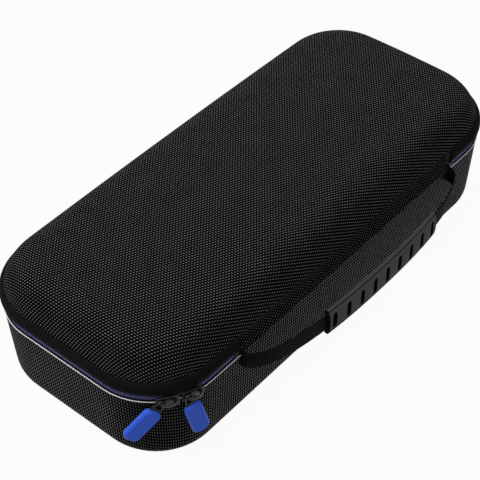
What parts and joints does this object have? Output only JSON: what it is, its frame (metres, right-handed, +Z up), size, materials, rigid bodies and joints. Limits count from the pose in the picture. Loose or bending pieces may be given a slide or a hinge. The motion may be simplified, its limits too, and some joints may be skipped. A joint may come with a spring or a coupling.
{
  "type": "zipped hard carrying case for a handheld game console",
  "caption": "Moulded cloth-covered hard case with a hinged crowned lid, a zip round three sides, hanging zip pulls and a bowed carrying handle with a slotted grip.",
  "frame": {"origin": "centre of the underside of the base, on the surface that the case stands on", "axes": "+X along the case, +Z up, hinge and carrying handle on the -Y side, zip sliders at the -X -Y corner"},
  "size_m": [0.3078, 0.155, 0.0788],
  "materials": {
    "shell_cloth": "coarse black woven cloth on moulded foam",
    "hinge_cloth": "black woven cloth",
    "band_black": "smooth satin black",
    "piping_white": "smooth white",
    "tape_black": "fine woven tape",
    "coil_blue": "blue nylon coil",
    "slider_metal": "black painted casting",
    "link_black": "black painted",
    "pull_blue": "soft satin blue",
    "strap_webbing": "fine black webbing",
    "grip_rubber": "matt dark grey",
    "mesh_black": "open knit mesh",
    "elastic_black": "ribbed elastic"
  },
  "bodies": {
    "base": {"base_shell": "shell_cloth", "base_piping": "piping_white", "zip_tape_base": "tape_black", "zip_coil_base": "coil_blue", "zip_stops": "slider_metal", "hinge_strip": "hinge_cloth", "handle_strap": "strap_webbing", "handle_grip": "grip_rubber", "hold_strap_rear": "elastic_black", "hold_strap_front": "elastic_black"},
    "lid": {"lid_shell": "shell_cloth", "lid_band": "band_black", "zip_coil_lid": "coil_blue", "pocket_mesh": "mesh_black", "pocket_hem": "elastic_black"},
    "left_slider": {"slider_left": "slider_metal"},
    "right_slider": {"slider_right": "slider_metal"},
    "left_pull": {"pull_link_left": "link_black", "pull_tab_left": "pull_blue"},
    "right_pull": {"pull_link_right": "link_black", "pull_tab_right": "pull_blue"}
  },
  "joints": [
    {"name": "lid_swing", "type": "hinge", "parent": "base", "child": "lid", "pos_m": [0.0025, -0.065, 0.062], "axis": [1, 0, 0], "range_deg": [0, 135]},
    {"name": "left_slider_run", "type": "hinge", "parent": "base", "child": "left_slider", "pos_m": [-0.112, -0.028, 0.05145], "axis": [0, 0, 1], "range_deg": [-45, 0]},
    {"name": "right_slider_run", "type": "hinge", "parent": "base", "child": "right_slider", "pos_m": [-0.112, -0.028, 0.05145], "axis": [0, 0, 1], "range_deg": [0, 12]},
    {"name": "left_pull_swing", "type": "hinge", "parent": "left_slider", "child": "left_pull", "pos_m": [-0.13812, -0.05583, 0.05145], "axis": [-0.6126, -0.7904, 0], "range_deg": [-44, 40]},
    {"name": "right_pull_swing", "type": "hinge", "parent": "right_slider", "child": "right_pull", "pos_m": [-0.12755, -0.06286, 0.05145], "axis": [-0.3194, -0.9476, 0], "range_deg": [-13, 28]}
  ]
}
